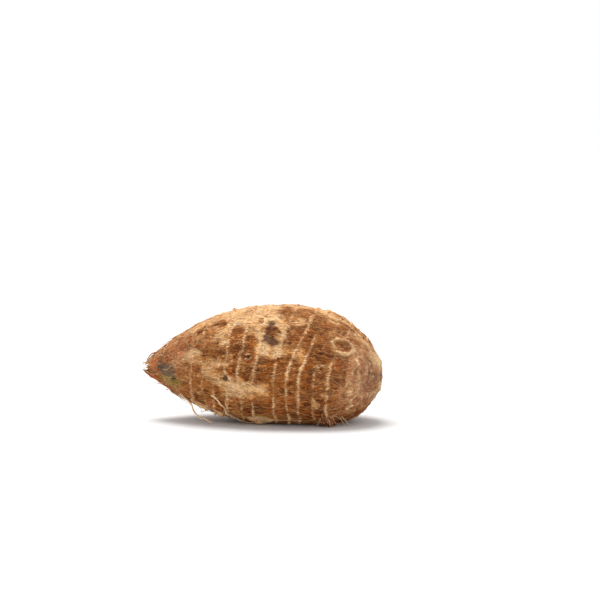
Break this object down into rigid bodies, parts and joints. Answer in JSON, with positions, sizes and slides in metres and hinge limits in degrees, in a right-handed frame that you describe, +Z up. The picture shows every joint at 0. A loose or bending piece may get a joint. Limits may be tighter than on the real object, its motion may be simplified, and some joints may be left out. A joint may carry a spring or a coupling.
{
  "type": "taro root",
  "caption": "Small whole taro root lying on its side: a pointed, ringed, fibrous brown corm with a rounded base, side buds and thin rootlets.",
  "frame": {"origin": "centre of the root's outer box at the surface it lies on, so the flat resting spot is at Z = 0", "axes": "+X along the root from the pointed shoot tip to the rounded base, +Z up, -Y towards the side that the picture shows"},
  "size_m": [0.1127, 0.0583, 0.0545],
  "materials": {
    "corm_skin": "dry, matt, fibrous brown skin with paler rings and peeled tan patches"
  },
  "bodies": {
    "root": {"corm": "corm_skin"}
  },
  "joints": []
}
